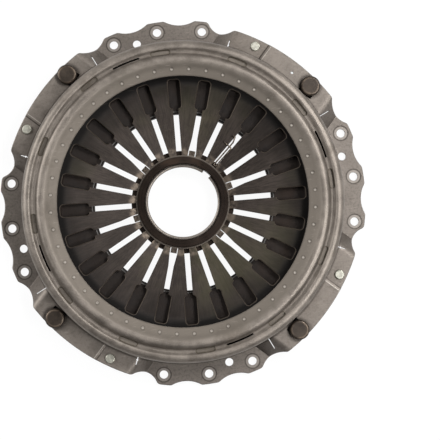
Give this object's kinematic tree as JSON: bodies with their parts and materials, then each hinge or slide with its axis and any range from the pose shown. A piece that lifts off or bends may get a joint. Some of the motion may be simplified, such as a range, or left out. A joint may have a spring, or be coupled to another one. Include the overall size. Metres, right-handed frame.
{
  "type": "clutch pressure plate",
  "caption": "Round pull-type clutch pressure plate: pressed cover, diaphragm spring, cast plate on straps and a release ring.",
  "frame": {"origin": "centre of the cover's bolting face, on the clutch axis", "axes": "+Z along the clutch axis towards the gearbox, +X through the middle bolt hole of one group"},
  "size_m": [0.4764, 0.4764, 0.0615],
  "materials": {
    "cover_steel": "dull pressed and phosphated steel",
    "spring_steel": "dark shot-peened spring steel",
    "cast_iron": "grey cast iron, ground on its friction face",
    "dark_steel": "dark oiled steel",
    "wire_steel": "bright drawn spring wire",
    "strap_steel": "blued strip steel",
    "zinc": "bright zinc plate",
    "black_oxide": "brown-black oxide"
  },
  "bodies": {
    "cover": {"cover": "cover_steel", "fulcrum_ring": "wire_steel", "diaphragm_spring": "spring_steel", "strap_1_bottom": "strap_steel", "strap_1_middle": "strap_steel", "strap_1_top": "strap_steel", "strap_2_bottom": "strap_steel", "strap_2_middle": "strap_steel", "strap_2_top": "strap_steel", "strap_3_bottom": "strap_steel", "strap_3_middle": "strap_steel", "strap_3_top": "strap_steel", "strap_4_bottom": "strap_steel", "strap_4_middle": "strap_steel", "strap_4_top": "strap_steel", "strap_rivet_1": "zinc", "strap_rivet_2": "zinc", "strap_rivet_3": "zinc", "strap_rivet_4": "zinc"},
    "pressure_plate": {"pressure_plate": "cast_iron", "stop_bolt_1": "black_oxide", "stop_bolt_2": "black_oxide", "stop_bolt_3": "black_oxide", "stop_bolt_4": "black_oxide", "stop_sleeve_1": "dark_steel", "stop_sleeve_2": "dark_steel", "stop_sleeve_3": "dark_steel", "stop_sleeve_4": "dark_steel"},
    "release_ring": {"bearing_socket": "dark_steel", "retaining_ring": "dark_steel", "snap_ring": "wire_steel", "locking_wire": "wire_steel"}
  },
  "joints": [
    {"name": "plate_lift", "type": "slide", "parent": "cover", "child": "pressure_plate", "axis": [0, 0, 1], "range_m": [0, 0.006], "stiffness_N_per_m": 60000, "springref_m": -0.006, "deforming": ["strap_1_bottom", "strap_1_middle", "strap_1_top", "strap_2_bottom", "strap_2_middle", "strap_2_top", "strap_3_bottom", "strap_3_middle", "strap_3_top", "strap_4_bottom", "strap_4_middle", "strap_4_top"]},
    {"name": "release_pull", "type": "slide", "parent": "cover", "child": "release_ring", "axis": [0, 0, 1], "range_m": [0, 0.0285], "deforming": ["diaphragm_spring"]}
  ],
  "couplings": [
    {"joint": "release_pull", "follows": "plate_lift", "ratio": 4.673}
  ]
}
